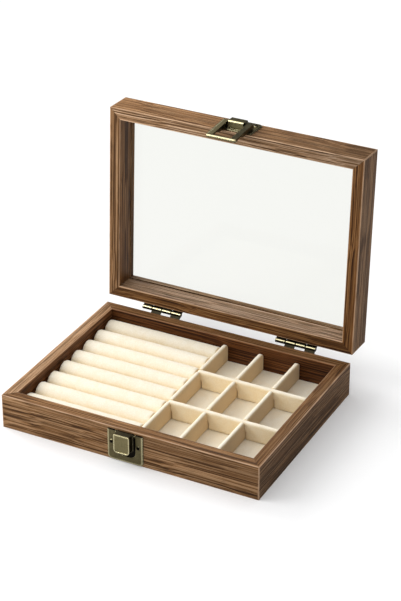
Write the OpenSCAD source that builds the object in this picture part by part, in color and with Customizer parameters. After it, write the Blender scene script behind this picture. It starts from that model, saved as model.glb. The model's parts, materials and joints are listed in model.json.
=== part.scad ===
// Ring display box: a mitred wooden tray with padded ring rolls and nine small compartments,
// under a hinged lid with a glass pane and a hook-and-loop catch.
// The origin is the centre of the underside: +X right, -Y front, +Z up. Millimetres.
// The lid is drawn shut and then turned open about its hinge pins.

/* [Box] */
// Outer width of the box
box_w = 200; // [170:1:240]
// Outer depth of the box, front to back
box_d = 151; // [130:1:190]
// Height of the base tray
base_h = 26.4; // [24:0.1:36]
// Height of the lid frame
lid_h = 23.3; // [23:0.1:34]
// Thickness of the wooden rails
wall_t = 8.7; // [7.5:0.1:12]
// Rounding of the long rail edges
edge_r = 0.5; // [0.3:0.1:1.4]
// Rounding of the upright outer corners
corner_r = 0.6; // [0.4:0.1:3]
// Gap between the rails of base and lid when shut
shut_gap = 0.3; // [0.1:0.05:1]
// Opening angle of the lid, in degrees
lid_open = 93; // [80:1:100]

/* [Panels] */
// Thickness of the bottom board
panel_t = 4; // [2:0.1:5]
// Thickness of the felt under the bottom board
lining_t = 0.9; // [0.4:0.1:1.2]
// How far the bottom board reaches into the rails
rabbet_w = 4; // [3:0.1:5]
// Side clearance of the bottom board and its felt
panel_gap = 0.2; // [0.1:0.05:0.5]
// Thickness of the glass pane
glass_t = 2; // [1.6:0.1:3]
// Depth of the glass pane below the outer face of the lid
glass_drop = 5; // [2:0.1:6]
// Depth of the groove that holds the glass
groove_d = 3; // [2:0.1:4]
// Clearance of the glass in its groove, per face
glass_gap = 0.1; // [0.05:0.05:0.2]

/* [Lining] */
// Thickness of the velvet-covered boards on the bottom
floor_t = 3; // [1.5:0.1:4]
// Clearance of the soft pieces from the wood
soft_gap = 0.3; // [0.2:0.1:1]
// Thickness of a padded divider
divider_t = 4; // [3:0.1:6]
// How far the divider tops lie below the rim
divider_drop = 4.5; // [3:0.1:6]
// Radius of the upper corners of a divider
divider_corner_r = 3; // [2:0.5:5]
// Clearance of a divider in a half-lap slot, per face
lap_gap = 0.15; // [0.1:0.05:0.3]
// Centre of the first long divider, to the right of the middle
first_divider_x = 4.6; // [0:0.1:12]
// How far the cross dividers sit behind equal thirds of the depth
cross_shift = 1.3; // [0:0.1:4]

/* [Ring rolls] */
// Gap between neighbouring ring rolls at their widest
roll_gap = 0.4; // [0.2:0.1:1]
// How far the roll crowns lie below the rim
roll_drop = 4.9; // [3:0.1:6]
// Gap between the roll ends and the left rail
roll_end_gap = 1.6; // [0.5:0.1:4]
// Rounding of the roll ends
roll_end_r = 2.4; // [1:0.1:3]
// Least depth to which the board flattens the underside of a roll
roll_flat = 2; // [1:0.1:2.6]

/* [Hinges] */
// Length of a hinge
hinge_l = 32; // [26:1:40]
// Distance of each hinge from the middle of the box
hinge_x = 55; // [40:1:70]
// Distance of the pin behind the back of the rails
pin_out = 3.5; // [3:0.1:5]
// Height of the pin above the rim of the base
pin_up = 1.4; // [1:0.1:2]
// Radius of the hinge pin
pin_r = 0.75; // [0.6:0.05:0.9]
// Running clearance of a knuckle on its pin
pin_gap = 0.05; // [0.02:0.01:0.1]
// Wall of a knuckle around its bore
knuckle_wall = 0.8; // [0.7:0.05:0.95]
// Gap between neighbouring knuckles
knuckle_gap = 0.16; // [0.1:0.02:0.3]
// Thickness of a hinge leaf
leaf_t = 0.9; // [0.7:0.05:1]
// Height of a hinge leaf
leaf_h = 13; // [11:0.5:14]

/* [Catch] */
// Distance of the catch from the middle of the front, to the right
catch_x = -1; // [-10:0.5:10]
// How far the two catch plates reach past the sides of the loop
plate_margin = 2.3; // [2:0.1:5]
// Distance of the base plate from the underside
catch_plate_foot = 0.5; // [0.3:0.1:3]
// Distance of the lid plate from the outer face of the lid
hasp_plate_foot = 1.2; // [0.8:0.1:3]
// Distance of both plates from the edge where base and lid meet
plate_inset = 1.7; // [1:0.1:2]
// Thickness of a catch plate
plate_t = 0.9; // [0.7:0.05:1]
// Width of the hook
hook_w = 12.2; // [10:0.1:13]
// Height of the hook
hook_h = 14.4; // [10:0.1:14.6]
// How far the hook stands out from the rail
hook_out = 6.3; // [5:0.1:6.5]
// How far the pocket pressed behind the hook reaches past its sides
pocket_side = 2; // [1.2:0.1:2.2]
// How far that pocket reaches below the hook
pocket_drop = 4.9; // [3:0.1:5.5]
// Depth of the pocket
pocket_depth = 0.5; // [0.2:0.05:0.6]
// Width of the arms of the loop
arm_w = 4.3; // [3:0.1:5]
// Clearance between the loop arms and the sides of the hook
hook_side_gap = 1.1; // [0.9:0.1:2]
// Clearance between the loop arms and the sides of the pivot block
block_gap = 1.2; // [0.5:0.1:2]
// Thickness of the round bar at the end of the loop
loop_bar_d = 2.2; // [2:0.1:2.4]
// Clearance between the loop bar and the hook
hook_gap = 0.5; // [0.4:0.1:1]
// Height of the loop pivot above the lower edge of the lid
pivot_up = 8.3; // [7:0.1:9]
// Distance of the loop pivot from the rail
pivot_out = 3.2; // [3:0.1:3.5]
// Radius of the loop pin
loop_pin_r = 1.1; // [0.9:0.05:1.3]
// Depth of the pivot block along the lid
block_d = 8; // [7:0.1:9]
// How far the pivot block stands out from the rail
block_out = 6.6; // [6:0.1:7]

/* [Screws] */
// Distance of the catch screws from the side edges of their plates
screw_inset = 3.4; // [2.6:0.1:4]
// Distance of the screws in the base plate from the rim
catch_screw_drop = 11.5; // [8:0.1:14]
// Distance of the screws in the lid plate from its far edge
hasp_screw_inset = 5.5; // [4:0.1:7]
// Radius of a screw head
head_r = 1.75; // [1.4:0.05:2]
// Height of a screw head
head_h = 1.1; // [0.8:0.05:1.4]
// Radius of a screw shank
shank_r = 0.9; // [0.7:0.05:1]
// Wood left between the screw tips and the groove of the glass
screw_tip_gap = 0.1; // [0.1:0.1:1.5]

/* [Hidden] */
$fn = 48;

cut = 0.01;                     // overshoot of a cutter past the face it opens
big = 400;                      // longer than any rail
tip_gap = 0.05;                 // between a screw tip and the end of its pilot hole
tuck = 0.995;                   // share of a circle's radius where its straight sides start

// Inside of the frames
inner_w = box_w - 2 * wall_t;
inner_d = box_d - 2 * wall_t;
lid_z0 = base_h + shut_gap;     // lower edge of the lid when shut
glass_z = lid_h - glass_drop - glass_t;

// Levels inside the base
board_z1 = lining_t + panel_t;  // top of the bottom board
floor_z = board_z1 + floor_t;   // top of the velvet floor

// Dividers
divider_top = base_h - divider_drop;
divider_h = divider_top - floor_z;
divider_len = inner_d - 2 * soft_gap;
lap_w = divider_t + 2 * lap_gap;
first_divider_left = first_divider_x - divider_t / 2;
divider_pitch = (inner_w / 2 - first_divider_x) / 3;
divider_xs = [for (i = [0:2]) first_divider_x + i * divider_pitch];
cell_d = (inner_d - 2 * divider_t) / 3;
front_cross_y = cross_shift - (cell_d + divider_t) / 2;
back_cross_y = cross_shift + (cell_d + divider_t) / 2;
cross_ys = [front_cross_y, back_cross_y];
cross_x0 = first_divider_left;
cross_x1 = inner_w / 2 - soft_gap;

// Ring rolls, side by side over the whole depth
roll_count = 8;
roll_pitch = inner_d / roll_count;
roll_r = (roll_pitch - roll_gap) / 2;
roll_z = base_h - roll_drop - roll_r;
roll_x0 = -inner_w / 2 + roll_end_gap;
roll_x1 = first_divider_left - soft_gap;
roll_board_z = max(floor_z, roll_z - roll_r + roll_flat);      // slim rolls get a thicker board

// Hinge pin axis, the same for both hinges
pin_y = box_d / 2 + pin_out;
pin_z = base_h + pin_up;
knuckle_r = pin_r + pin_gap + knuckle_wall;
leaf_start = knuckle_r + 0.8;   // from the pin axis to the near edge of the leaf plate
knuckle_count = 4;
knuckle_l = hinge_l / knuckle_count;
leaf_screw_x = hinge_l / 2 - 5.5;
leaf_screw_z = leaf_start + 0.55 * leaf_h;
stop_gap = 0.05;                // between the stop horn and the lid leaf when open
horn_reach = 3.4;               // from the pin axis to the tip of the stop horn

// Catch
window_w = hook_w + 2 * hook_side_gap;
loop_w = window_w + 2 * arm_w;
block_w = window_w - 2 * block_gap;
plate_w = loop_w + 2 * plate_margin;
catch_plate_h = base_h - plate_inset - catch_plate_foot;
hasp_plate_h = lid_h - plate_inset - hasp_plate_foot;
screw_x = plate_w / 2 - screw_inset;
plate_top_r = 1.2;
plate_foot_r = 3.2;
plate_bevel = 0.5;
hook_corner_r = 0.8;
hook_foot_r = 2.8;
hook_rim = 0.8;                 // width of the raised border on the hook
hook_dish = 0.35;               // depth of the hook face inside that border
hook_root = 0.6;                // how far the foot of the hook spreads
notch_r = 0.8;                  // relief notches beside the hook and the block
notch_x = hook_w / 2 + hook_root + notch_r;
hook_top = base_h - plate_inset;
hook_foot = hook_top - hook_h;
pocket_border = 1;               // least width of plate left round the pocket
pocket_foot = max(catch_plate_foot + pocket_border, hook_foot - pocket_drop);
pocket_top = hook_top - notch_r - pocket_border;
loop_eye_r = pivot_out - plate_t - 0.1;
loop_bar_r = loop_bar_d / 2;
loop_reach = lid_z0 - (hook_foot - hook_root - hook_gap);      // lid edge to near side of the bar
bar_y = -(loop_reach + loop_bar_r);
bar_out = plate_t + 0.1 + loop_bar_r;
window_top = pivot_up + loop_eye_r + cut;
catch_screw_y = base_h - catch_screw_drop;
hasp_screw_y = plate_inset + hasp_plate_h - hasp_screw_inset;
arch_r = 8;                     // arch under the arms of the loop, over the screw heads
arch_rise = head_h + 0.3;
pilot_r = shank_r + 0.05;
screw_depth = wall_t - groove_d - screw_tip_gap;               // how far the screws reach into a rail

// ---- helpers ----

// Solid outline of two circles and their common tangents. The straight sides start just inside
// the circles, so that they cross them instead of only touching them
module link2d(c1, r1, c2, r2) {
    s1 = tuck * r1;
    s2 = tuck * r2;
    dir = atan2(c2[1] - c1[1], c2[0] - c1[0]);
    lean = asin((s1 - s2) / norm(c2 - c1));
    up = dir + 90 - lean;
    down = dir - 90 + lean;
    translate(c1) circle(r1);
    translate(c2) circle(r2);
    polygon([
        c1 + s1 * [cos(up), sin(up)],
        c1 + s1 * [cos(down), sin(down)],
        c2 + s2 * [cos(down), sin(down)],
        c2 + s2 * [cos(up), sin(up)]
    ]);
}

// Rectangle from [0, 0] with a radius at its foot corners and another at its top corners
module rounded_rect(w, h, foot_r, top_r) {
    difference() {
        square([w, h]);
        for (side = [0, 1]) translate([side * w, 0]) mirror([side, 0]) {
            corner_cutter(foot_r);
            translate([0, h]) mirror([0, 1]) corner_cutter(top_r);
        }
    }
}

// What a radius takes off a square corner at the origin
module corner_cutter(r) {
    difference() {
        translate([-1, -1]) square(r + 1);
        translate([r, r]) circle(r);
    }
}

// Extrudes a side profile, drawn as [Y, Z], over a width centred on X
module across(width) {
    rotate([90, 0, 90]) translate([0, 0, -width / 2]) linear_extrude(width) children();
}

// Opens what is drawn shut, about the hinge pins
module open_lid() {
    translate([0, pin_y, pin_z]) rotate([-lid_open, 0, 0]) translate([0, -pin_y, -pin_z]) children();
}

// Local frame on the front of the base: X along the rail, Y up, Z out of the rail
module on_base_front() {
    translate([catch_x, -box_d / 2, 0]) rotate([90, 0, 0]) children();
}

// The same on the front of the lid, from its lower edge
module on_lid_front() {
    open_lid() translate([catch_x, -box_d / 2, lid_z0]) rotate([90, 0, 0]) children();
}

// ---- wooden frames ----

// Section of a base rail: [distance inwards, height]
module base_section() {
    difference() {
        rounded_rect(wall_t, base_h, edge_r, edge_r);
        translate([wall_t - rabbet_w, -cut]) square([rabbet_w + cut, board_z1 + cut]);
    }
}

// Section of a lid rail, with the groove for the glass
module lid_section() {
    difference() {
        rounded_rect(wall_t, lid_h, edge_r, edge_r);
        translate([wall_t - groove_d, glass_z - glass_gap])
            square([groove_d + cut, glass_t + 2 * glass_gap]);
    }
}

// Rail along X on the front side of a frame, mitred at both ends
module mitred_rail(len, other, h) {
    reach = wall_t + 1;
    intersection() {
        translate([0, -other / 2, 0]) across(big) children();
        translate([0, 0, -1]) linear_extrude(h + 2) polygon([
            [-len / 2 - 1, -other / 2 - 1], [len / 2 + 1, -other / 2 - 1],
            [len / 2 - reach, -other / 2 + reach], [-len / 2 + reach, -other / 2 + reach]
        ]);
        translate([-len / 2, -other / 2, -1]) linear_extrude(h + 2)
            rounded_rect(len, other, corner_r, corner_r);
    }
}

module base_rail(turn) {
    len = turn % 180 == 0 ? box_w : box_d;
    other = turn % 180 == 0 ? box_d : box_w;
    rotate([0, 0, turn]) mitred_rail(len, other, base_h) base_section();
}

module lid_rail(turn) {
    len = turn % 180 == 0 ? box_w : box_d;
    other = turn % 180 == 0 ? box_d : box_w;
    translate([0, 0, lid_z0]) rotate([0, 0, turn]) mitred_rail(len, other, lid_h) lid_section();
}

// Pilot holes for a pair of catch screws, in the local frame of a front rail
module catch_pilots(y) {
    for (side = [-1, 1]) translate([side * screw_x, y, -screw_depth])
        cylinder(r = pilot_r, h = screw_depth + 1);
}

module base_front_rail() {
    color("#7a5a42") difference() {
        base_rail(0);
        on_base_front() catch_pilots(catch_screw_y);
    }
}

module base_back_rail() {
    color("#755540") difference() {
        base_rail(180);
        for (side = [-1, 1]) base_leaf_pilots(side * hinge_x);
    }
}

module base_left_rail() {
    color("#8a674b") base_rail(-90);
}

module base_right_rail() {
    color("#6a5240") base_rail(90);
}

module lid_front_rail() {
    color("#7d5b42") difference() {
        open_lid() lid_rail(0);
        on_lid_front() catch_pilots(hasp_screw_y);
    }
}

module lid_back_rail() {
    color("#75543d") open_lid() difference() {
        lid_rail(180);
        for (side = [-1, 1]) lid_flip() base_leaf_pilots(side * hinge_x);
    }
}

module lid_left_rail() {
    color("#84624a") open_lid() lid_rail(-90);
}

module lid_right_rail() {
    color("#70523d") open_lid() lid_rail(90);
}

// ---- panels ----

// Plate that fills the rabbet or the groove
module pane(reach, gap, z0, t) {
    w = inner_w + 2 * (reach - gap);
    d = inner_d + 2 * (reach - gap);
    translate([-w / 2, -d / 2, z0]) cube([w, d, t]);
}

module bottom_board() {
    color("#a98d6c") pane(rabbet_w, panel_gap, lining_t, panel_t);
}

module underside_felt() {
    color("#4b3a2c") pane(rabbet_w, panel_gap, 0, lining_t);
}

module glass_pane() {
    color("#dfeee6", 0.35) open_lid() pane(groove_d, 2 * glass_gap, lid_z0 + glass_z, glass_t);
}

// ---- velvet lining ----

module floor_board(x0, x1, top) {
    translate([x0, -divider_len / 2, board_z1]) cube([x1 - x0, divider_len, top - board_z1]);
}

module compartment_floor() {
    color("#e6d7b4") floor_board(first_divider_left, cross_x1, floor_z);
}

module roll_board() {
    color("#e2d3b0") floor_board(-inner_w / 2 + soft_gap, first_divider_left - soft_gap, roll_board_z);
}

// Half of a roll's lengthwise section, with a rounded end: [radius, length]
module roll_section(len) {
    difference() {
        square([roll_r, len]);
        translate([roll_r, 0]) mirror([1, 0]) corner_cutter(roll_end_r);
        translate([roll_r, len]) mirror([0, 1]) mirror([1, 0]) corner_cutter(roll_end_r);
    }
}

// One padded roll, flat where it stands on its board; the first is at the front
module ring_roll(index) {
    y = -inner_d / 2 + (index - 0.5) * roll_pitch;
    color("#efe3c8") intersection() {
        translate([roll_x0, y, roll_z]) rotate([0, 90, 0]) rotate_extrude() roll_section(roll_x1 - roll_x0);
        translate([roll_x0 - 1, y - roll_r - 1, roll_board_z]) cube([roll_x1 - roll_x0 + 2, 2 * roll_r + 2, big]);
    }
}

// Board along X, with a round top edge and rounded upper corners, centred on Y
module padded_board(x0, x1) {
    len = x1 - x0;
    intersection() {
        translate([(x0 + x1) / 2, 0, 0]) across(len) {
            translate([-divider_t / 2, floor_z]) square([divider_t, divider_h - divider_t / 2]);
            translate([0, divider_top - divider_t / 2]) circle(divider_t / 2);
        }
        translate([x0, divider_t, floor_z]) rotate([90, 0, 0]) linear_extrude(2 * divider_t)
            rounded_rect(len, divider_h, cut, divider_corner_r);
    }
}

// Half-lap slots: open at the top of the long dividers, at the foot of the cross dividers
module lap_slot(x, z0) {
    translate([x - lap_w / 2, -divider_t, z0]) cube([lap_w, 2 * divider_t, divider_h / 2 + lap_gap]);
}

module long_divider(x) {
    color("#eadfc4") translate([x, 0, 0]) rotate([0, 0, 90]) difference() {
        padded_board(-divider_len / 2, divider_len / 2);
        for (y = cross_ys) lap_slot(y, floor_z + divider_h / 2);
    }
}

module cross_divider(y) {
    color("#ede2c8") translate([0, y, 0]) difference() {
        padded_board(cross_x0, cross_x1);
        for (x = divider_xs) lap_slot(x, floor_z - lap_gap);
    }
}

// ---- hinges ----

// Side profile of a leaf about the pin axis, as [out of the wood, up]: the plate hangs below the pin
module leaf_plate_profile() {
    translate([-pin_out, -leaf_start - leaf_h]) square([leaf_t, leaf_h]);
}

// The strap that rises from the plate and wraps the pin
module leaf_strap_profile() {
    foot = [leaf_t / 2 - pin_out, -leaf_start];
    wall = (knuckle_r + pin_r) / 2;
    link2d(foot, leaf_t / 2, wall * foot / norm(foot), leaf_t / 2);
    circle(knuckle_r);
}

// The horn behind a base knuckle, which the lid leaf comes to rest on when the lid is open
module leaf_horn_profile() {
    under = pin_out - 1.5 * leaf_t - stop_gap;
    turn = 90 - lid_open;
    tip = [horn_reach * cos(turn) - under * sin(turn), horn_reach * sin(turn) + under * cos(turn)];
    wall = (knuckle_r + pin_r) / 2;
    link2d(wall * tip / norm(tip), leaf_t / 2, tip, leaf_t / 2);
}

// Leaf with two of the four knuckles: [0, 2] or [1, 3], counted from the left
module hinge_leaf(x, slots, with_horn) {
    translate([x, pin_y, pin_z]) difference() {
        union() {
            across(hinge_l) leaf_plate_profile();
            for (slot = slots) translate([(slot + 0.5) * knuckle_l - hinge_l / 2, 0, 0])
                across(knuckle_l - knuckle_gap) {
                    leaf_strap_profile();
                    if (with_horn) leaf_horn_profile();
                }
        }
        across(hinge_l + 2) circle(pin_r + pin_gap);
        for (side = [-1, 1]) translate([side * leaf_screw_x, 0, -leaf_screw_z])
            rotate([90, 0, 0]) cylinder(r = pilot_r, h = 2 * pin_out);
    }
}

// Mirrors a base leaf, its pilot holes or its screws to the lid side of the pin
module lid_flip() {
    translate([0, 0, pin_z]) mirror([0, 0, 1]) translate([0, 0, -pin_z]) children();
}

module base_leaf(x) {
    color("#5f5636") hinge_leaf(x, [1, 3], true);
}

module lid_leaf(x) {
    color("#6b613c") open_lid() lid_flip() hinge_leaf(x, [0, 2], false);
}

module hinge_pin(x) {
    color("#8a7d52") translate([x, pin_y, pin_z]) across(hinge_l) circle(pin_r);
}

// Puts children at the two screws of a base leaf, with Z out of the wood
module at_leaf_screws(x) {
    for (side = [-1, 1]) translate([x + side * leaf_screw_x, box_d / 2, pin_z - leaf_screw_z])
        rotate([-90, 0, 0]) children();
}

module base_leaf_pilots(x) {
    at_leaf_screws(x) translate([0, 0, -screw_depth]) cylinder(r = pilot_r, h = screw_depth + 1);
}

module base_leaf_screws() {
    color("#7c7048") for (side = [-1, 1]) at_leaf_screws(side * hinge_x) translate([0, 0, leaf_t]) screw(leaf_t);
}

module lid_leaf_screws() {
    color("#7c7048") open_lid() lid_flip()
        for (side = [-1, 1]) at_leaf_screws(side * hinge_x) translate([0, 0, leaf_t]) screw(leaf_t);
}

// ---- screws ----

// Dome-headed screw with a cross recess, through a plate; Z = 0 is under the head
module screw(plate) {
    dome_r = (head_r * head_r + head_h * head_h) / (2 * head_h);
    difference() {
        union() {
            intersection() {
                translate([0, 0, head_h - dome_r]) sphere(dome_r);
                cylinder(r = head_r + 1, h = head_h + 1);
            }
            translate([0, 0, tip_gap - plate - screw_depth])
                cylinder(r = shank_r, h = screw_depth + plate - tip_gap + head_h / 3);
        }
        for (turn = [0, 90]) rotate([0, 0, turn])
            translate([-0.65 * head_r, -0.15 * head_r, 0.45 * head_h]) cube([1.3 * head_r, 0.3 * head_r, head_h]);
    }
}

module catch_screw_pair(y) {
    color("#857a52") for (side = [-1, 1]) translate([side * screw_x, y, plate_t]) screw(plate_t);
}

module catch_screws() {
    on_base_front() catch_screw_pair(catch_screw_y);
}

module hasp_screws() {
    on_lid_front() catch_screw_pair(hasp_screw_y);
}

// ---- catch ----

// Plate centred on X, standing on y0, with two relief notches in the edge that meets the other half
module catch_plate_body(y0, h, foot_r, top_r, notch_y) {
    difference() {
        for (layer = [[0, plate_t - plate_bevel], [plate_bevel, plate_t]])
            translate([-plate_w / 2 + layer[0], y0 + layer[0], 0]) linear_extrude(layer[1])
                rounded_rect(plate_w - 2 * layer[0], h - 2 * layer[0], foot_r - layer[0], top_r - layer[0]);
        for (side = [-1, 1]) translate([side * notch_x, notch_y, -cut])
            cylinder(r = notch_r, h = plate_t + 1);
    }
}

// Outline of the hook face, grown or shrunk by a margin
module hook_outline(grow) {
    translate([-hook_w / 2 - grow, hook_foot - grow])
        rounded_rect(hook_w + 2 * grow, hook_h + grow, hook_foot_r + grow, hook_corner_r);
}

// The box-shaped hook, dished inside a raised border
module hook() {
    difference() {
        union() {
            linear_extrude(hook_out) hook_outline(0);
            linear_extrude(plate_t + hook_root) hook_outline(hook_root);
        }
        translate([-hook_w / 2 + hook_rim, hook_foot + hook_rim, hook_out - hook_dish]) linear_extrude(1)
            rounded_rect(hook_w - 2 * hook_rim, hook_h - 2 * hook_rim, hook_foot_r - hook_rim, 0.3);
    }
}

// Shallow pocket that the hook stands in
module hook_pocket() {
    half = hook_w / 2 + pocket_side;
    translate([-half, pocket_foot, plate_t - pocket_depth]) linear_extrude(1)
        rounded_rect(2 * half, pocket_top - pocket_foot, hook_foot_r + pocket_side, hook_corner_r + pocket_side / 2);
}

module catch_plate() {
    color("#5c5436") on_base_front() difference() {
        union() {
            difference() {
                catch_plate_body(catch_plate_foot, catch_plate_h, plate_foot_r, plate_top_r, hook_top);
                hook_pocket();
            }
            hook();
        }
        for (side = [-1, 1]) translate([side * screw_x, catch_screw_y, -cut])
            cylinder(r = pilot_r, h = plate_t + 1);
    }
}

// The block on the lid plate, with the bore of the loop pin
module hasp_block() {
    translate([0, pivot_up, 0]) difference() {
        across(block_w) translate([-block_d / 2, 0]) rounded_rect(block_d, block_out, cut, 1.4);
        across(block_w + 2) translate([0, pivot_out]) circle(loop_pin_r + 0.02);
    }
}

module hasp_plate() {
    color("#5c5436") on_lid_front() difference() {
        union() {
            catch_plate_body(plate_inset, hasp_plate_h, plate_top_r, plate_foot_r, plate_inset);
            hasp_block();
        }
        for (side = [-1, 1]) translate([side * screw_x, hasp_screw_y, -cut])
            cylinder(r = pilot_r, h = plate_t + 1);
    }
}

module hasp_pin() {
    color("#8a7d52") on_lid_front() translate([0, pivot_up, pivot_out])
        across(loop_w - 0.4) circle(loop_pin_r);
}

// The loop: two arms with an eye each, joined by a round-edged bar that drops below the hook
module hasp_loop() {
    foot = bar_y - loop_bar_r;
    arm_top = pivot_up + loop_eye_r;
    color("#6b613c") on_lid_front() difference() {
        intersection() {
            across(loop_w) link2d([pivot_up, pivot_out], loop_eye_r, [bar_y, bar_out], loop_bar_r);
            translate([-loop_w / 2, foot - cut, -1]) linear_extrude(block_out + 2)
                rounded_rect(loop_w, arm_top - foot + 1, 1.6, cut);
        }
        translate([-window_w / 2, -loop_reach, -1]) linear_extrude(block_out + 2)
            rounded_rect(window_w, loop_reach + arm_top + 2, 1, cut);
        translate([0, pivot_up, pivot_out]) across(loop_w + 2) circle(loop_pin_r + pin_gap);
        translate([0, catch_screw_y - lid_z0, plate_t + arch_rise - arch_r]) across(loop_w + 2) circle(arch_r);
    }
}

// ---- the box ----

base_front_rail();
base_back_rail();
base_left_rail();
base_right_rail();
bottom_board();
underside_felt();
compartment_floor();
roll_board();
ring_roll(1);  // ring_roll_1
ring_roll(2);  // ring_roll_2
ring_roll(3);  // ring_roll_3
ring_roll(4);  // ring_roll_4
ring_roll(5);  // ring_roll_5
ring_roll(6);  // ring_roll_6
ring_roll(7);  // ring_roll_7
ring_roll(8);  // ring_roll_8
long_divider(divider_xs[0]);  // long_divider_left
long_divider(divider_xs[1]);  // long_divider_middle
long_divider(divider_xs[2]);  // long_divider_right
cross_divider(front_cross_y);  // cross_divider_front
cross_divider(back_cross_y);  // cross_divider_back
lid_front_rail();
lid_back_rail();
lid_left_rail();
lid_right_rail();
glass_pane();
base_leaf(-hinge_x);  // left_hinge_base_leaf
lid_leaf(-hinge_x);  // left_hinge_lid_leaf
hinge_pin(-hinge_x);  // left_hinge_pin
base_leaf(hinge_x);  // right_hinge_base_leaf
lid_leaf(hinge_x);  // right_hinge_lid_leaf
hinge_pin(hinge_x);  // right_hinge_pin
base_leaf_screws();
lid_leaf_screws();
catch_plate();
catch_screws();
hasp_plate();
hasp_screws();
hasp_pin();
hasp_loop();
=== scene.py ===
"""Ring display box: walnut, velvet, antique brass and glass around the fixed CAD frame."""

import json
import math

import bmesh
import bpy
import numpy as np
from bpy.props import FloatProperty, FloatVectorProperty, IntProperty, PointerProperty
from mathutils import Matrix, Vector, noise


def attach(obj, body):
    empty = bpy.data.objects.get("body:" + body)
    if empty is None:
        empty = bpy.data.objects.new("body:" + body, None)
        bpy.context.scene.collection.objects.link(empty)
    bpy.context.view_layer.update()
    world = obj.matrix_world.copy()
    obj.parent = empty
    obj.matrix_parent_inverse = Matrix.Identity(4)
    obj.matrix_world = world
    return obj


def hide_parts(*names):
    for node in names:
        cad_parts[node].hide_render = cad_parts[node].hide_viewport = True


bl_info = {
    "name": "Ring Display Box",
    "version": (1, 0, 0),
    "blender": (4, 5, 0),
    "location": "3D View > Sidebar > Ring Box",
    "description": "Finishes a ring display box with velvet rolls, walnut rails and a brass catch",
    "category": "Add Mesh",
}

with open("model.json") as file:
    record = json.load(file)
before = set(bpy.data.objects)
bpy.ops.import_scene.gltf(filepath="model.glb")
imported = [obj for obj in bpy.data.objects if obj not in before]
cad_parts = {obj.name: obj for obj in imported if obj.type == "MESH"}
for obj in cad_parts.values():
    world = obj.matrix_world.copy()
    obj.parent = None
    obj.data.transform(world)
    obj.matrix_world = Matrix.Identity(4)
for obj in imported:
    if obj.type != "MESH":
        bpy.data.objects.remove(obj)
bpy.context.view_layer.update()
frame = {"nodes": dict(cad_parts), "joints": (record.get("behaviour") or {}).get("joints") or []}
MM = 0.001

ROLLS = [f"ring_roll_{i}" for i in range(1, 9)]
LONG_DIVIDERS = [f"long_divider_{place}" for place in ("left", "middle", "right")]
CROSS_DIVIDERS = [f"cross_divider_{place}" for place in ("front", "back")]
SIDES = ("front", "back", "left", "right")

LID_JOINT = next(j for j in frame["joints"] if j["name"] == "lid_hinge")
LID_PIN = np.array(LID_JOINT["pos_m"]) / MM
LID_OPEN = math.radians(LID_JOINT["range_deg"][1])


# ---- measures of the frame, in millimetres ----

def vectors(mesh, what="co"):
    """The place of each vertex of a mesh, or its normal, as rows of X, Y and Z."""
    flat = np.empty(len(mesh.vertices) * 3)
    mesh.vertices.foreach_get(what, flat)
    return flat.reshape(-1, 3)


def points_mm(node):
    """The vertices of a CAD node."""
    return vectors(frame["nodes"][node].data) / MM


def box_mm(node):
    """Lowest and highest corner of a CAD node."""
    points = points_mm(node)
    return points.min(0), points.max(0)


def shut(points):
    """Points of the open lid where they are with the lid shut."""
    cosine, sine = math.cos(LID_OPEN), math.sin(LID_OPEN)
    turn = np.array([[1, 0, 0], [0, cosine, -sine], [0, sine, cosine]])
    return (points - LID_PIN) @ turn.T + LID_PIN


HALF_W = box_mm("base_front_rail")[1][0]
HALF_D = box_mm("base_back_rail")[1][1]
WALL = HALF_W - box_mm("base_right_rail")[0][0]
BASE_HEIGHTS = (0.0, box_mm("base_front_rail")[1][2])
SHUT_LID_Z = shut(points_mm("lid_left_rail"))[:, 2]
LID_HEIGHTS = (SHUT_LID_Z.min(), SHUT_LID_Z.max())


# ---- settings a user may change ----

def colour(name, text, value):
    return FloatVectorProperty(
        name=name, description=text, subtype="COLOR", size=4, min=0, max=1, default=(*value, 1)
    )


def amount(name, text, value, **more):
    return FloatProperty(name=name, description=text, min=0, default=value, **more)


def length(name, text, millimetres):
    return amount(name, text, millimetres * MM, subtype="DISTANCE", unit="LENGTH")


def share(name, text, value):
    return amount(name, text, value, max=1, subtype="FACTOR")


class WalnutSettings(bpy.types.PropertyGroup):
    body: colour("Body", "Main colour of the walnut rails", (0.245, 0.120, 0.046))
    streak: colour("Streak", "Colour of the dark grain lines", (0.048, 0.020, 0.006))
    pale: colour("Pale", "Colour of the light grain lines", (0.425, 0.252, 0.128))
    # eased edges: partly real wear, partly painted highlight
    worn_and_painted_highlight: colour("Worn edge", "Colour of the eased edges, rubbed pale", (0.66, 0.43, 0.27))
    # tint of the inner faces of the base: partly unpolished wood, partly painted shade
    inside: colour("Inside", "Tint of the unpolished inner faces", (0.42, 0.27, 0.16))
    line_gap: length("Line gap", "Typical distance between dark grain lines", 1.6)
    # also sets how strong the painted highlight on the edges is
    wear: share("Edge wear", "How much of the stain is gone from the edges", 0.70)


class VelvetSettings(bpy.types.PropertyGroup):
    # painted light: faces that point up take the pile colour
    pile: colour("Pile", "Colour of the ivory velvet where it faces the light", (0.93, 0.865, 0.73))
    nap: colour("Nap", "Colour of the velvet where the pile lies away", (0.86, 0.70, 0.44))
    # painted shade: faces that point right take this colour
    deep: colour("Deep nap", "Colour of the sides that the pile is brushed away from", (0.64, 0.47, 0.27))
    pressure: amount("Stuffing", "Pressure of the foam on its cover", 4)
    voxel: length("Cover mesh", "Mesh size of the cover before it is simulated", 1.5)
    swell: length("Swell", "How far the cover may bulge", 0.45)
    steps: IntProperty(name="Steps", description="Frames of cloth simulation", min=2, default=20)


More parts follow.
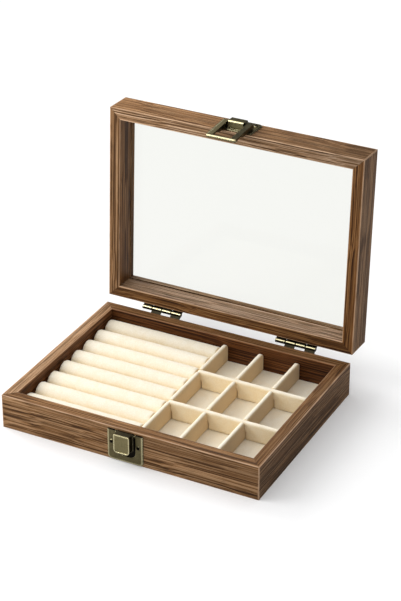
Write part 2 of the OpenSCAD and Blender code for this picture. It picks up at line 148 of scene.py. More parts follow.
class BrassSettings(bpy.types.PropertyGroup):
    # also the colour of painted highlights
    bright: colour("Bright", "Brass where the patina is rubbed off", (0.86, 0.77, 0.46))
    # also the colour of faces made lighter as painted light
    relief_and_painted_light: colour("Relieved", "Brass on the faces that stand proud", (0.33, 0.28, 0.14))
    patina: colour("Patina", "Main colour of the antiqued brass", (0.100, 0.086, 0.045))
    # also the colour of painted shade
    dark: colour("Dark", "Colour of the patina in its deep places", (0.012, 0.010, 0.007))


class GlassSettings(bpy.types.PropertyGroup):
    tint: colour("Tint", "Colour of the light that passes the pane", (0.915, 0.923, 0.888))


class StageSettings(bpy.types.PropertyGroup):
    floor: colour("Floor", "Colour of the floor", (0.95, 0.95, 0.955))
    key: amount("Key", "Strength of the low light from the left", 1.1)
    fill: amount("Fill", "Strength of the light from all round", 0.74)
    near: amount("Soft box", "Power of the soft box close by on the front left", 3.2, unit="POWER")


class RingBoxSettings(bpy.types.PropertyGroup):
    walnut: PointerProperty(type=WalnutSettings)
    velvet: PointerProperty(type=VelvetSettings)
    brass: PointerProperty(type=BrassSettings)
    glass: PointerProperty(type=GlassSettings)
    stage: PointerProperty(type=StageSettings)


# ---- procedural finishes ----

WHITE = (1, 1, 1, 1)
COLOUR_A, COLOUR_B, COLOUR_OUT = 6, 7, 2        # the sockets of a mix node that hold colours


class Value:
    """A number inside a material. Arithmetic on it adds math nodes."""

    def __init__(self, finish, socket):
        self.finish, self.socket = finish, socket

    def __add__(self, other):
        return self.finish.math("ADD", self, other)

    def __sub__(self, other):
        return self.finish.math("SUBTRACT", self, other)

    def __rsub__(self, other):
        return self.finish.math("SUBTRACT", other, self)

    def __mul__(self, other):
        return self.finish.math("MULTIPLY", self, other)

    def __truediv__(self, other):
        return self.finish.math("DIVIDE", self, other)

    def abs(self):
        return self.finish.math("ABSOLUTE", self)

    def least(self, other):
        return self.finish.math("MINIMUM", self, other)

    def most(self, other):
        return self.finish.math("MAXIMUM", self, other)

    def diagonal(self, other):
        """The distance that two distances at right angles make together."""
        return self.finish.math("SQRT", self * self + other * other)

    def between(self, low, high):
        """0 at low and before it, 1 at high and past it, smooth between them."""
        node = self.finish.node("ShaderNodeMapRange", interpolation_type="SMOOTHSTEP")
        self.finish.put(node.inputs["Value"], self)
        self.finish.put(node.inputs["From Min"], low)
        self.finish.put(node.inputs["From Max"], high)
        return Value(self.finish, node.outputs["Result"])

    def below(self, limit, blur=0.1):
        """1 under a limit and 0 over it, smooth for blur to either side."""
        return self.between(limit + blur, limit - blur)

    def above(self, limit, blur=0.1):
        return self.between(limit - blur, limit + blur)


class Nodes:
    """The nodes of a material or a world that is being put together."""

    def __init__(self, owner, output):
        owner.use_nodes = True
        self.tree = owner.node_tree
        self.tree.nodes.clear()
        self.output = self.node(output)

    def node(self, kind, **settings):
        made = self.tree.nodes.new(kind)
        for key, value in settings.items():
            setattr(made, key, value)
        return made

    def put(self, socket, value):
        """Feeds a socket from a value or another socket, or sets it to a constant. None leaves it."""
        if isinstance(value, Value):
            value = value.socket
        if isinstance(value, bpy.types.NodeSocket):
            self.tree.links.new(value, socket)
        elif value is not None:
            socket.default_value = value

    def light(self, kind, strength):
        """A white emission or background shader."""
        made = self.node(kind)
        self.put(made.inputs["Color"], WHITE)
        self.put(made.inputs["Strength"], strength)
        return made.outputs[0]

    def choose(self, ray, otherwise, then):
        """One shader for a kind of ray, and one for the rest."""
        path, pick = self.node("ShaderNodeLightPath"), self.node("ShaderNodeMixShader")
        for socket, value in zip(pick.inputs, (path.outputs[ray], otherwise, then)):
            self.put(socket, value)
        return pick.outputs[0]

    def show(self, shader):
        self.put(self.output.inputs["Surface"], shader)


class Finish(Nodes):
    """A procedural material that is being put together. plain holds constants of its shader."""

    def __init__(self, name, **plain):
        self.material = bpy.data.materials.new(name)
        super().__init__(self.material, "ShaderNodeOutputMaterial")
        self.shader = self.node("ShaderNodeBsdfPrincipled")
        self.show(self.shader.outputs[0])
        for socket, value in plain.items():
            self.set(socket.replace("_", " ").title().replace("Ior", "IOR"), value)

    def set(self, socket, value):
        self.put(self.shader.inputs[socket], value)

    def math(self, operation, *values):
        made = self.node("ShaderNodeMath", operation=operation)
        for socket, value in zip(made.inputs, values):
            self.put(socket, value)
        return Value(self, made.outputs[0])

    def place(self, on_lid=False):
        """X, Y and Z in millimetres, with the lid shut."""
        mapped = self.node("ShaderNodeMapping")
        self.put(mapped.inputs["Vector"], self.node("ShaderNodeTexCoord").outputs["Object"])
        self.put(mapped.inputs["Scale"], (1 / MM,) * 3)
        if on_lid:
            self.put(mapped.inputs["Rotation"], (LID_OPEN, 0, 0))
            self.put(mapped.inputs["Location"], shut(np.zeros(3)))
        split = self.node("ShaderNodeSeparateXYZ")
        self.put(split.inputs[0], mapped.outputs[0])
        return [Value(self, out) for out in split.outputs]

    def facing(self, on_lid=False):
        """The three parts of the direction that the surface faces, with the lid shut."""
        split = self.node("ShaderNodeSeparateXYZ")
        self.put(split.inputs[0], self.node("ShaderNodeTexCoord").outputs["Normal"])
        x, y, z = (Value(self, out) for out in split.outputs)
        if not on_lid:
            return x, y, z
        cosine, sine = math.cos(LID_OPEN), math.sin(LID_OPEN)
        return x, y * cosine - z * sine, y * sine + z * cosine

    def vector(self, x, y, z):
        made = self.node("ShaderNodeCombineXYZ")
        for socket, value in zip(made.inputs, (x, y, z)):
            self.put(socket, value)
        return made.outputs[0]

    def noise(self, vector, scale=1.0, detail=2.0, roughness=0.5, distortion=0.0):
        made = self.node("ShaderNodeTexNoise")
        self.put(made.inputs["Vector"], vector)
        self.put(made.inputs["Scale"], scale)
        self.put(made.inputs["Detail"], detail)
        self.put(made.inputs["Roughness"], roughness)
        self.put(made.inputs["Distortion"], distortion)
        return Value(self, made.outputs["Fac"])

    def mix(self, part, first, second, blend="MIX"):
        made = self.node("ShaderNodeMix", data_type="RGBA", blend_type=blend)
        self.put(made.inputs["Factor"], part)
        self.put(made.inputs[COLOUR_A], first)
        self.put(made.inputs[COLOUR_B], second)
        return made.outputs[COLOUR_OUT]

    def times(self, first, second):
        """One colour multiplied by another."""
        return self.mix(1.0, first, second, "MULTIPLY")

    def grey(self, value):
        """A colour of one brightness."""
        made = self.node("ShaderNodeCombineColor")
        for socket in made.inputs[:3]:
            self.put(socket, value)
        return made.outputs[0]

    def bump(self, height, distance_mm, strength, normal=None):
        made = self.node("ShaderNodeBump")
        self.put(made.inputs["Normal"], normal)
        self.put(made.inputs["Height"], height)
        self.put(made.inputs["Distance"], distance_mm * MM)
        self.put(made.inputs["Strength"], strength)
        self.set("Normal", made.outputs[0])

    def sharp_edges(self, radius_mm):
        """1 on the edges of a piece and 0 on its flat faces, and the normal of the eased edges."""
        bevel = self.node("ShaderNodeBevel", samples=6)
        self.put(bevel.inputs["Radius"], radius_mm * MM)
        dot = self.node("ShaderNodeVectorMath", operation="DOT_PRODUCT")
        self.put(dot.inputs[0], bevel.outputs[0])
        self.put(dot.inputs[1], self.node("ShaderNodeNewGeometry").outputs["Normal"])
        return 1.0 - Value(self, dot.outputs["Value"]), bevel.outputs[0]


def finish_node(node, finish):
    """Gives a CAD node a material in every slot."""
    mesh = frame["nodes"][node].data
    if not mesh.materials:
        mesh.materials.append(finish.material)
    for slot in range(len(mesh.materials)):
        mesh.materials[slot] = finish.material


def near(distance, reach):
    """1 where a distance is 0, falling to 0 at reach."""
    return 1.0 - (distance / reach).least(1.0)


# ---- walnut ----

# For each rail, painted light and shade: how light the rail is, how light its rim and its inner
# face are, and how far it darkens to the right
RAIL_PAINTED_LIGHT = {
    "base": {"front": (1.02, 0.87, 1, 0.12), "back": (0.88, 0.84, 1, 0),
             "left": (1.28, 1.20, 1.26, 0), "right": (0.84, 0.76, 1, 0)},
    "lid": {"front": (1.16, 1.34, 1, 0.40), "back": (0.86, 0.74, 1.38, 0),
            "left": (1.04, 1.03, 0.75, 0), "right": (0.96, 0.69, 1, 0)},
}
SEAM_COLOUR = (0.02, 0.010, 0.006, 1)
SEAM_WIDTH = 0.16                       # of the shadow in a mitre, in millimetres
OUTER_EDGE, INNER_EDGE, CORNER_EDGE = 0.75, 0.7, 0.9    # widths of the pale eased edges, partly worn and partly painted highlight
INNER_TINT_REACH = 0.55                       # how far the tint of the inner faces, unpolished wood and painted shade, reaches into the wood


def painted_light_tint(share):
    """A multiplier of painted light and shade, greyer where it is lighter and redder where it is darker.
    """
    return (share, share ** 1.5, share ** 2.4, 1)


def walnut(name, settings, along_x, on_lid, painted_lights, seed):
    """Straight-grained walnut for one rail, pale on its eased edges from wear and painted highlight.
    Its painted light and shade are listed for each rail in the table above.
    """
    painted_rail_light, rim, inner, painted_falloff = painted_lights
    wood = Finish(name, ior=1.5, specular_ior_level=0.15)
    x, y, z = wood.place(on_lid)
    along, across = (x, y) if along_x else (y, x)

    def figure(span, width, rows=(across, z), **more):
        """Noise stretched along the rail, in streaks of that span and width in millimetres."""
        first, second = rows
        return wood.noise(wood.vector(along / span + seed, first / width, second / width), **more)

    sway = (figure(85, 40, detail=1) - 0.5) * 4.5
    quiver = (figure(17, 6, detail=1) - 0.5) * 0.45
    rows = (across + sway + quiver, z + sway + quiver)
    lines = figure(170, settings.line_gap / MM / 2, rows, detail=3, roughness=0.55)
    bands = figure(220, 5.5, rows, detail=1)
    fade = figure(60, 2.6, rows, detail=1)
    fine = figure(60, 0.34, rows)
    pores = figure(4, 0.22, detail=1)

    tint = wood.mix(lines.between(0.49, 0.61) * 0.85, settings.body, settings.pale)
    dark_lines = lines.between(0.505, 0.40) * (fade.between(0.30, 0.62) * 0.30 + 0.70)
    for streaks in (dark_lines, fine.between(0.52, 0.38) * 0.55, pores.between(0.42, 0.30) * 0.30):
        tint = wood.mix(streaks, tint, settings.streak)
    # painted light: the rail is made lighter or darker as listed, and darker towards the right
    tint = wood.times(tint, wood.grey(bands * 0.80 - x * (painted_falloff / HALF_W) + (painted_rail_light - 0.40)))

    out_x, out_y = HALF_W - x.abs(), HALF_D - y.abs()
    from_out = out_x.least(out_y)
    from_in = WALL - from_out
    foot, top = LID_HEIGHTS if on_lid else BASE_HEIGHTS
    from_foot, from_top = z - foot, top - z
    meeting = from_foot if on_lid else from_top

    # painted light and shade on the rim and on the inner face
    rim_face = wood.facing(on_lid)[2].abs().between(0.4, 0.6)
    inner_face = from_in.between(0.3, 0.1) * (1.0 - rim_face)
    painted_face_light = wood.mix(inner_face, wood.mix(rim_face, WHITE, painted_light_tint(rim)), painted_light_tint(inner))
    tint = wood.times(tint, painted_face_light)

    # pale eased edges: partly real wear, partly painted highlight
    edge = near(from_out, OUTER_EDGE) * near(from_top.least(from_foot), OUTER_EDGE)
    edge = edge.most(near(from_in, INNER_EDGE) * near(meeting, INNER_EDGE) * 0.8)
    edge = edge.most(near(out_x, CORNER_EDGE) * near(out_y, CORNER_EDGE))
    rub = figure(14, 3, detail=3).between(0.30, 0.58)
    worn_and_painted_highlight = edge.between(0.14, 0.42) * (rub * 0.5 + 0.5) * settings.wear
    tint = wood.mix(worn_and_painted_highlight, tint, settings.worn_and_painted_highlight)

    # inner faces of the base: a darker tint, partly unpolished wood and partly painted shade
    if not on_lid:
        unpolished_shaded = wood.times(tint, settings.inside)
        tint = wood.mix(near(from_in, INNER_TINT_REACH) * 0.95, tint, unpolished_shaded)
    seam = near((out_x - out_y).abs(), SEAM_WIDTH)
    wood.set("Base Color", wood.mix(seam * 0.8, tint, SEAM_COLOUR))
    wood.set("Roughness", 0.62 - lines * 0.24 - worn_and_painted_highlight * 0.1)
    relief = lines * 0.6 + fine * 0.25 + pores.between(0.28, 0.45) * 0.5 - seam * 1.2
    wood.bump(relief, 0.09, 0.55)
    return wood


# ---- velvet, board and felt ----

BACK_ROLL_SHADE, SHADE_STEP = 0.87, 0.012   # brightness of the last roll, darkened as painted shade, and how the others differ


def velvet(name, settings, shade, seed):
    """Short-pile velvet with a wandering nap, with painted light on faces that point up
    and painted shade on faces that point right.
    """
    cloth = Finish(name, roughness=0.92, sheen_weight=0.25, sheen_roughness=0.4,
                   sheen_tint=(1.0, 0.97, 0.90, 1), ior=1.3)
    x, y, z = cloth.place()
    drift = cloth.vector(x / 7 + seed, y / 9, z / 7)
    nap = cloth.noise(drift, detail=3, roughness=0.6, distortion=0.6).between(0.32, 0.68)
    fleck = cloth.noise(cloth.vector(x, y, z), scale=1.15, detail=2)
    flecks = fleck.between(0.3, 0.7)
    pile = cloth.noise(cloth.vector(x, y, z), scale=3.2, detail=3, roughness=0.7)
    right, _, up = cloth.facing()
    # painted light: faces that point up lean to the pile colour; nap and flecks vary at random
    pile_and_top_light = up.between(0.1, 0.95) * 0.65 + nap * 0.20 + flecks * 0.15
    tint = cloth.mix(pile_and_top_light, settings.nap, settings.pile)
    # painted shade: faces that point right take the deep nap colour
    tint = cloth.mix(right.between(0.35, 0.9), tint, settings.deep)
    cloth.set("Base Color", cloth.times(tint, cloth.grey(pile * 0.14 + flecks * 0.04 + (shade - 0.10))))
    cloth.bump(pile * 0.5 + fleck * 0.5, 0.20, 0.32)
    return cloth


def mottled(name, colours, contrast, relief, pattern, **plain):
    """A dull material that wanders between two colours. relief is the depth and strength of its bump."""
    finish = Finish(name, **plain)
    clouds = finish.noise(finish.vector(*finish.place()), **pattern)
    finish.set("Base Color", finish.mix(clouds.between(0.5 - contrast, 0.5 + contrast), *colours))
    finish.bump(clouds, *relief)
    return finish


# ---- brass ----

PLATE_STEP = 0.7        # height over the rail that parts the face of a plate from its bevel and pocket
PLATE_CORNER = 3.2      # radius of the corners at the foot of the catch plate
POCKET_HALF, POCKET_FOOT = 8.3, 3.2     # half the width of the pocket, and the height of its foot
BAR_HEIGHT = 2.6        # of the bar of the loop
KNUCKLE_R, KNUCKLE_GAP = 1.9, 0.9       # radius of a knuckle, and how wide the dark joint beside it is


def antique_brass(name, settings, wear, gloss, seed, edge_mm, on_lid=False, shape=None):
    """Brass under a mottled dark patina, rubbed bright on its edges.
    shape takes X, Y, Z and the direction that the surface faces, and says where the brass takes the
    relief colour, where it is bright and where it is dark, each 0 to 1: real relief, rubbing and patina,
    and in places painted light, painted highlight and painted shade."""
    brass = Finish(name, metallic=1.0)
    x, y, z = brass.place(on_lid)
    spots = brass.vector(x + seed, y, z)
    mottle = brass.noise(spots, scale=0.85, detail=4, roughness=0.6, distortion=0.5)
    cloud = brass.noise(spots, scale=0.22, detail=2)
    rub = brass.noise(spots, scale=0.9, detail=2).between(0.25, 0.6)
    scratch = brass.noise(brass.vector(x / 0.14 + seed, y / 3.5, z / 2.6), detail=2)
    tint = brass.mix(mottle.between(0.20, 0.70) * 0.45 + 0.55, settings.dark, settings.patina)
    tint = brass.mix(cloud.between(0.44, 0.66) * 0.22, tint, settings.relief_and_painted_light)
    # relief colour, bright and dark from the shape: partly relief, rubbing and patina, partly painted
    # light, painted highlight and painted shade
    relief_and_painted_light, rubbed_and_painted_highlight, patina_and_painted_shade = shape(x, y, z, brass.facing(on_lid)) if shape else (None,) * 3
    if relief_and_painted_light:
        tint = brass.mix(relief_and_painted_light * (mottle.between(0.25, 0.55) * 0.4 + 0.6), tint, settings.relief_and_painted_light)
    edge, eased = brass.sharp_edges(edge_mm)
    bright = edge.between(0.03, 0.22) * (rub * 0.5 + 0.5) * wear
    bright = bright.most(scratch.between(0.72, 0.80) * 0.3)
    if rubbed_and_painted_highlight:
        bright = bright.most(rubbed_and_painted_highlight * (rub * 0.25 + 0.75))
    tint = brass.mix(bright, tint, settings.bright)
    if patina_and_painted_shade:
        tint = brass.mix(patina_and_painted_shade, tint, settings.dark)
    brass.set("Base Color", tint)
    brass.set("Roughness", (1.0 - mottle) * 0.24 + gloss - bright * 0.10)
    brass.bump(mottle * 0.6 + scratch * 0.3, 0.04, 0.4, eased)
    return brass


def hinge_brass(middle, span):
    """Knuckles with a painted highlight on top and painted shade below, dark in the gaps between them,
    and dark leaves. The pin is span long about its middle."""
    def shape(x, y, z, facing):
        off_y, off_z = y - middle[1], z - middle[2]
        far = off_y.diagonal(off_z)
        outward = (facing[1] * off_y + facing[2] * off_z) / far
        barrel = far.below(KNUCKLE_R) * outward.between(0.80, 0.93)
        # painted highlight along the top of each knuckle
        top = (facing[2] * 0.9 - facing[1] * 0.43).between(0.78, 0.93)
        gap = None
        for joint in (-span / 4, 0.0, span / 4):
            here = (x - (middle[0] + joint)).abs().below(KNUCKLE_GAP / 2)
            gap = here if gap is None else gap.most(here)
        # painted shade on the lower side of each knuckle
        under = barrel * (1.0 - top).between(0.55, 0.9) * 0.8
        return None, barrel * top * 0.9, under.most(barrel * gap).most((1.0 - barrel) * 0.88)

    return shape


def faces_front(facing):
    """1 where a surface faces the front, with the lid shut."""
    return facing[1].between(-0.4, -0.8)


def hook_plate_brass():
    """Dished hook with a bright border in a pocket dark with patina and painted shade, painted shade on
    its flanks, and a plate with a bright outline and painted shade on its sides and along its top and
    right edges.
    """
    low, high = box_mm("catch_plate")
    middle = (low[0] + high[0]) / 2

    def shape(x, y, z, facing):
        from_front, from_rail = y - low[1], high[1] - y
        front_face = faces_front(facing)
        hook_face = from_front.between(1.0, 0.5)
        border = from_front.between(0.25, 0.12)
        # painted shade on the flanks of the hook
        flanks = from_front.between(0.5, 1.2) * from_rail.between(1.0, 1.3)
        lowered = from_rail.below(PLATE_STEP + 0.1, 0.05)
        pocket = (x - middle).abs().below(POCKET_HALF) * z.above(POCKET_FOOT)
        ledge = lowered * (1.0 - pocket)
        plate_face = from_rail.between(1.4, 1.1) * front_face

        aside = (x - middle).abs() - (high[0] - middle - PLATE_CORNER)
        below = (low[2] + PLATE_CORNER) - z
        far = aside.most(0.0).diagonal(below.most(0.0)) + aside.most(below).least(0.0)
        outline = (PLATE_CORNER - far).between(1.45, 1.15) * plate_face
        # painted shadow along the top and the right edge of the plate
        painted_edge_shade = z.between(high[2] - 0.8, high[2] - 0.5).most(x.between(high[0] - 0.2, high[0] - 0.1))

        relief_and_painted_light = (hook_face * 0.85).most(plate_face * 0.42)
        bright = border.most(ledge * front_face).most(outline * 0.75)
        # dark: patina and painted shade in the pocket, painted shade on the flanks, on the sides of the
        # plate and along its edges
        patina_and_painted_shade = (lowered * pocket).most(flanks * 0.6).most(ledge * (1.0 - front_face) * 0.8)
        return relief_and_painted_light, bright, patina_and_painted_shade.most(painted_edge_shade * from_rail.between(1.3, 1.0))

    return shape


def lid_plate_brass():
    """Plate with a pivot block that has a painted highlight along the ridge over its front, and painted
    shade on the thin edge of the plate where it doesn't face the front.
    """
    rail = box_mm("catch_plate")[1][1]

    def shape(x, y, z, facing):
        from_rail = rail - y
        front_face = faces_front(facing)
        under = facing[2].between(-0.5, -0.9)
        block = from_rail.between(1.2, 1.5)
        # painted highlight along the ridge over the front of the block
        ridge = (facing[1] + facing[2]).between(-1.2, -1.38)
        lowered = from_rail.below(PLATE_STEP)
        # the thin edge is bright where it faces the front and has painted shade where it doesn't
        return ((block * under * 0.5).most(front_face * 0.4),
                (lowered * front_face * 0.7).most(block * ridge),
                lowered * (1.0 - front_face) * 0.8)

    return shape


def loop_brass():
    """Loop with a painted highlight along the bar that the hook holds and painted shade below it, and its
    left arm made lighter as painted light, with a painted highlight along its outer edge.
    """
    loop = shut(points_mm("hasp_loop"))
    left, right = loop[:, 0].min(), loop[:, 0].max()
    middle, half = (left + right) / 2, (right - left) / 2
    bar_top = loop[:, 2].min() + BAR_HEIGHT
    depths = loop[loop[:, 2] < bar_top][:, 1]
    bar_front, bar_back = depths.min(), depths.max()

    def shape(x, y, z, facing):
        aside = x - middle
        bar = z.below(bar_top, 0.4)
        # painted highlight along the upper part of the bar
        outer = ((y - bar_front) / (bar_back - bar_front)).between(0.60, 0.40)
        outer = outer * z.between(bar_top - 1.0, bar_top - 1.6)
        # painted light: the left arm is made lighter
        arm = (1.0 - bar) * aside.below(0.0, 2.0) * faces_front(facing)
        # painted highlight along the outer edge of the left arm
        rim = arm * aside.between(1.5 - half, 1.1 - half)
        # painted shade on the lower part of the bar
        return (bar * 0.7).most(arm * 0.75), (bar * outer * 0.9).most(rim), bar * (1.0 - outer) * 0.3

    return shape


def screw_brass(node, on_lid):
    """Dark middles and pale rims for the two screw heads of a node."""
    points = shut(points_mm(node)) if on_lid else points_mm(node)
    low, high = points.min(0), points.max(0)
    radius = (high[2] - low[2]) / 2
    middle, height = (high[0] + low[0]) / 2, (high[2] + low[2]) / 2
    reach = (high[0] - low[0]) / 2 - radius

    def shape(x, y, z, facing):
        far = ((x - middle).abs() - reach).diagonal(z - height) / radius
        return None, far.between(0.72, 0.86) * 0.25, far.between(0.74, 0.60)

    return shape


# ---- soft pieces ----

# Lengths are in millimetres.
TINY = 1e-6                         # keeps a division by a length from failing where the length is 0
ROLL_SEAT = 2.0                     # height over which the foot of a roll stays on its board
COVER_ROOM, END_ROOM = 0.35, 0.3    # how far inside its solid a cover starts, round it and at its ends
GATHER_AT, GATHER_WIDTH = 1.6, 2.2  # where a cover is gathered, from the end of its roll
FOLDS, FOLD_DEPTH = 13, 0.10        # of each gathered end
COVER_IN, BULGE = 0.05, 0.1         # how far a cover is drawn in, and may still stand proud of its solid
DIVIDER_VOXEL, DIVIDER_IN = 0.8, 0.03   # mesh size of the wrap on a divider, and how far it is drawn in
FLOOR_DIP = 0.34                    # how far a velvet floor is drawn down at its edges
FLOOR_WAVE, FLOOR_WAVE_SIZE = 0.06, 7   # height and size of the waves in a velvet floor
FLOOR_GRIDS = {"compartment_floor": (90, 130), "roll_board": (40, 60)}  # points along X and Y


def set_coordinates(mesh, points):
    mesh.vertices.foreach_set("co", np.asarray(points, np.float32).ravel())
    mesh.update()


def applied(piece):
    """Puts the modifiers of a piece into its mesh."""
    graph = bpy.context.evaluated_depsgraph_get()
    mesh = bpy.data.meshes.new_from_object(piece.evaluated_get(graph))
    piece.modifiers.clear()
    old, piece.data = piece.data, mesh
    bpy.data.meshes.remove(old)
    mesh.name = piece.name
    return piece


def covered(name, node, voxel_mm):
    """A copy of a soft CAD solid as one even mesh that a cover can be shaped from."""
    mesh = frame["nodes"][node].data.copy()
    mesh.name = name
    mesh.materials.clear()
    piece = bpy.data.objects.new(name, mesh)
    bpy.context.scene.collection.objects.link(piece)
    remesh = piece.modifiers.new("cover", "REMESH")
    remesh.mode = "VOXEL"
    remesh.voxel_size = voxel_mm * MM
    return applied(piece)


def refine(piece):
    subdivide = piece.modifiers.new("smooth", "SUBSURF")
    subdivide.levels = subdivide.render_levels = 1
    applied(piece)


def relax(piece, rounds):
    smooth = piece.modifiers.new("relax", "SMOOTH")
    smooth.iterations, smooth.factor = rounds, 0.5
    applied(piece)


def simulate(piece, settings, free):
    """Swells a closed cover with cloth under pressure. free says how far each point may go, 0 to 1."""
    grow = 10.0                 # the cover is simulated at this many times its size
    start = vectors(piece.data)
    set_coordinates(piece.data, start * grow)
    scene = bpy.context.scene
    cloth = piece.modifiers.new("cover", "CLOTH")
    cloth.settings.quality = 6
    cloth.settings.mass = 0.15
    cloth.settings.tension_stiffness = cloth.settings.compression_stiffness = 12
    cloth.settings.shear_stiffness = 6
    cloth.settings.bending_stiffness = 0.6
    cloth.settings.use_pressure = True
    cloth.settings.uniform_pressure_force = settings.pressure
    cloth.settings.effector_weights.gravity = 0
    cloth.settings.shrink_min = -0.015
    cloth.collision_settings.use_collision = False
    cloth.point_cache.frame_start, cloth.point_cache.frame_end = 1, settings.steps
    for step in range(1, settings.steps + 1):
        scene.frame_set(step)
    graph = bpy.context.evaluated_depsgraph_get()
    shaped = piece.evaluated_get(graph).to_mesh()
    moved = vectors(shaped) / grow - start
    piece.evaluated_get(graph).to_mesh_clear()
    piece.modifiers.clear()
    scene.frame_set(1)
    far = np.linalg.norm(moved, axis=1, keepdims=True)
    moved *= np.minimum(1, settings.swell / np.maximum(far, TINY)) * free[:, None]
    set_coordinates(piece.data, start + moved)


def ripple(points, size, seed):
    """Smooth random numbers from -1 to 1, one for each point, for waves of that size."""
    return np.array([noise.noise(Vector(p) / size + Vector((seed, 0, 0))) for p in points])


def uneven(points, *waves):
    """How far each point is off, for waves that are each a size, a seed and a height."""
    return sum(ripple(points, size, seed) * height for size, seed, height in waves)


def shade_smooth(piece):
    piece.data.shade_smooth()
    return piece


def show_as(piece, node, finish):
    """Puts a soft piece on the body of the CAD node that it stands for."""
    piece.data.materials.append(finish.material)
    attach(piece, "base")
    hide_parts(node)
    return piece


def from_axis(points, axis):
    """The way to each point from an axis along X, and how far it is."""
    out = points[:, 1:] - axis
    return out, np.maximum(np.linalg.norm(out, axis=1), TINY)


def hold_within(points, axis, limit):
    """Draws the points that lie further from an axis than the limit back to it."""
    out, far = from_axis(points, axis)
    points[:, 1:] = axis + out * (np.minimum(far, limit) / far)[:, None]


def make_roll(index, settings):
    """One foam roll in its velvet cover, gathered at both ends."""
    node = ROLLS[index]
    low, high = box_mm(node)
    radius = (high[1] - low[1]) / 2
    axis = np.array([(high[1] + low[1]) / 2, high[2] - radius])

    def freedom(points):
        """0 at the foot of the roll, growing to 1."""
        return np.clip((points[:, 2] - low[2]) / ROLL_SEAT, 0, 1)

    piece = covered(f"velvet_roll_{index + 1}", node, settings.voxel / MM)
    points = vectors(piece.data) / MM
    free = freedom(points)
    hold_within(points, axis, radius - COVER_ROOM)
    points[:, 0] = np.clip(points[:, 0], low[0] + END_ROOM, high[0] - END_ROOM)
    set_coordinates(piece.data, points * MM)
    relax(piece, 2)
    simulate(piece, settings, free)
    refine(piece)

    points = vectors(piece.data) / MM
    out, far = from_axis(points, axis)
    turn = np.arctan2(out[:, 1], out[:, 0])
    end = np.minimum(points[:, 0] - low[0], high[0] - points[:, 0])
    gather = np.exp(-((end - GATHER_AT) / GATHER_WIDTH) ** 2) * np.clip(far / radius, 0, 1) ** 2
    phase = index * 2.1 + 1.5 * ripple(points, 9.0, index)
    folds = np.sin(turn * FOLDS + phase) * FOLD_DEPTH * gather
    waves = uneven(points, (11.0, 7.3 * index, 0.12), (4.0, 3.1 * index, 0.035))
    lift = (folds + waves - COVER_IN) * freedom(points)
    points[:, 1:] += out / far[:, None] * lift[:, None]
    hold_within(points, axis, radius + BULGE)
    points[:, 0] = np.clip(points[:, 0], low[0], high[0])
    points[:, 2] = np.clip(points[:, 2], low[2], high[2])
    set_coordinates(piece.data, points * MM)
    return shade_smooth(piece)


def make_divider(name, node, seed):
    """Card divider wrapped in velvet, with soft edges and faces that aren't quite flat."""
    piece = covered(name, node, DIVIDER_VOXEL)
    relax(piece, 3)
    points = vectors(piece.data) / MM
    lift = uneven(points, (6.0, seed, 0.10), (2.2, seed + 5, 0.035)) - DIVIDER_IN
    points += vectors(piece.data, "normal") * lift[:, None]
    set_coordinates(piece.data, np.clip(points, *box_mm(node)) * MM)
    return shade_smooth(piece)


def slab(name, xs, ys, top, foot):
    """Closed board with an uneven top: a grid of heights over a flat underside, in millimetres."""
    shape = bmesh.new()
    upper = [[shape.verts.new((x * MM, y * MM, top(x, y) * MM)) for y in ys] for x in xs]
    corners = ((xs[0], ys[0]), (xs[-1], ys[0]), (xs[-1], ys[-1]), (xs[0], ys[-1]))
    front_left, front_right, back_right, back_left = (
        shape.verts.new((x * MM, y * MM, foot * MM)) for x, y in corners
    )
    for i in range(len(xs) - 1):
        for j in range(len(ys) - 1):
            shape.faces.new((upper[i][j], upper[i + 1][j], upper[i + 1][j + 1], upper[i][j + 1]))
    shape.faces.new([front_left, back_left, back_right, front_right])
    shape.faces.new([front_left, front_right] + [row[0] for row in reversed(upper)])
    shape.faces.new([front_right, back_right] + list(reversed(upper[-1])))
    shape.faces.new([back_right, back_left] + [row[-1] for row in upper])
    shape.faces.new([back_left, front_left] + upper[0])
    bmesh.ops.recalc_face_normals(shape, faces=shape.faces)
    mesh = bpy.data.meshes.new(name)
    shape.to_mesh(mesh)
    shape.free()
    piece = bpy.data.objects.new(name, mesh)
    bpy.context.scene.collection.objects.link(piece)
    return piece


def spans(low, high, walls):
    """The stretches between low and high that walls, given as pairs, leave open."""
    cuts = [low] + [edge for wall in sorted(walls) for edge in wall] + [high]
    return [(a, b) for a, b in zip(cuts[::2], cuts[1::2]) if b - a > 1]


def cushion(place, stretches):
    """1 in the middle of a stretch and 0 at its ends and outside."""
    for start, end in stretches:
        if start <= place <= end:
            return 1 - abs(2 * (place - start) / (end - start) - 1) ** 7
    return 0.0


def make_floor(node):
    """Board covered in velvet that is drawn down along the dividers and the walls."""
    low, high = box_mm(node)
    walls_x = [tuple(corner[0] for corner in box_mm(wall)) for wall in LONG_DIVIDERS]
    walls_y = [tuple(corner[1] for corner in box_mm(wall)) for wall in CROSS_DIVIDERS]
    open_x = spans(low[0], high[0], [wall for wall in walls_x if wall[1] > low[0] and wall[0] < high[0]])
    open_y = spans(low[1], high[1], walls_y)

    def top(x, y):
        rise = cushion(x, open_x) * cushion(y, open_y)
        wave = noise.noise(Vector((x / FLOOR_WAVE_SIZE, y / FLOOR_WAVE_SIZE, 3.0)))
        return high[2] - FLOOR_DIP * (1 - rise) - FLOOR_WAVE * (1 - wave)

    columns, rows = FLOOR_GRIDS[node]
    xs, ys = np.linspace(low[0], high[0], columns), np.linspace(low[1], high[1], rows)
    piece = shade_smooth(slab(f"velvet_{node}", xs, ys, top, low[2]))
    piece.data.set_sharp_from_angle(angle=math.radians(50))
    return piece


# ---- operators ----

PANE_SHADOW = (0.93, 0.94, 0.93, 1)     # how much light comes through the pane


def settings_of(context):
    return context.scene.ring_box


